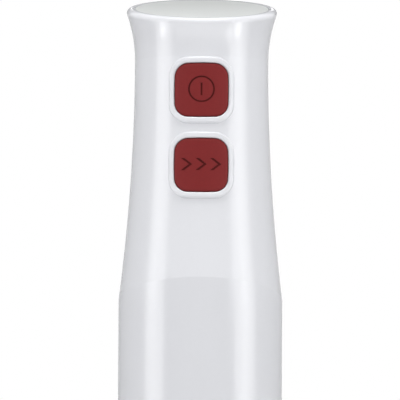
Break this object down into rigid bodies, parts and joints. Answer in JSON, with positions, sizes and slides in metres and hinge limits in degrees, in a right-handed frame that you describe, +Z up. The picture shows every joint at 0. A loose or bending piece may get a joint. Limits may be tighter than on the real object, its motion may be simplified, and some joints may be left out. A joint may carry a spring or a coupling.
{
  "type": "immersion blender",
  "caption": "Hand-held immersion blender: waisted white grip with a slanted top and square rubber press buttons, twist-on foot with a steel tube, and a bell guard round a bent blade.",
  "frame": {"origin": "middle of the blade guard's rim, on the surface it stands on", "axes": "+Z up the axis from the blade guard to the slanted top, -Y the front with the buttons, +Y the back with the cord inlet"},
  "size_m": [0.068, 0.068, 0.375],
  "materials": {
    "shell_white": "glossy moulded white",
    "collar_white": "glossy moulded white",
    "cap_grey": "fine matte grain",
    "button_red": "matte soft touch",
    "rubber_black": "matte",
    "dark_plastic": "moulded",
    "pale_plastic": "moulded",
    "capacitor_yellow": "moulded case",
    "board_green": "lacquered board",
    "lead_red": "insulated lead",
    "copper": "lacquered copper",
    "bronze": "sintered",
    "lamination": "stacked sheet",
    "cast_alloy": "die cast",
    "carbon": "pressed carbon",
    "screw_steel": "plain",
    "foot_steel": "satin stainless",
    "blade_steel": "ground stainless"
  },
  "bodies": {
    "motor_unit": {"front_housing": "shell_white", "rear_housing": "shell_white", "housing_screws": "screw_steel", "cord_gland": "rubber_black", "top_cap": "cap_grey", "switch_board": "board_green", "on_switch": "dark_plastic", "turbo_switch": "dark_plastic", "suppression_capacitor": "capacitor_yellow", "motor_leads": "lead_red", "coupling_socket": "dark_plastic", "lower_bracket": "cast_alloy", "motor_lower_bush": "bronze", "lower_damper": "rubber_black", "stator_core": "lamination", "field_coils": "copper", "upper_bracket": "cast_alloy", "motor_upper_bush": "bronze", "upper_damper": "rubber_black", "motor_screws": "screw_steel", "brush_holders": "dark_plastic", "carbon_brushes": "carbon"},
    "armature": {"motor_shaft": "screw_steel", "armature_core": "lamination", "armature_winding": "copper", "commutator": "copper", "cooling_fan": "dark_plastic", "drive_coupling": "dark_plastic"},
    "foot": {"foot_collar": "collar_white", "foot_tube": "foot_steel", "blade_guard": "foot_steel", "bearing_carrier": "dark_plastic", "foot_upper_bush": "bronze", "foot_lower_bush": "bronze", "shaft_seal": "rubber_black"},
    "blade_drive": {"drive_shaft": "screw_steel", "shaft_dog": "dark_plastic", "blade": "blade_steel", "blade_nut": "blade_steel"},
    "upper_press": {"on_button": "button_red", "on_plunger": "pale_plastic"},
    "lower_press": {"turbo_button": "button_red", "turbo_plunger": "pale_plastic"}
  },
  "joints": [
    {"name": "on_press", "type": "slide", "parent": "motor_unit", "child": "upper_press", "axis": [0, 1, 0], "range_m": [0, 0.0025], "stiffness_N_per_m": 1000, "springref_m": -0.001},
    {"name": "turbo_press", "type": "slide", "parent": "motor_unit", "child": "lower_press", "axis": [0, 1, 0], "range_m": [0, 0.0025], "stiffness_N_per_m": 1000, "springref_m": -0.001},
    {"name": "motor_spin", "type": "hinge", "parent": "motor_unit", "child": "armature", "pos_m": [0, 0, 0.24], "axis": [0, 0, 1], "continuous": true},
    {"name": "blade_spin", "type": "hinge", "parent": "motor_unit", "child": "blade_drive", "pos_m": [0, 0, 0.1], "axis": [0, 0, 1], "continuous": true},
    {"name": "foot_twist", "type": "hinge", "parent": "motor_unit", "child": "foot", "pos_m": [0, 0, 0.172], "axis": [0, 0, 1], "range_deg": [0, 30]}
  ],
  "couplings": [
    {"joint": "blade_spin", "follows": "motor_spin", "ratio": 1}
  ]
}
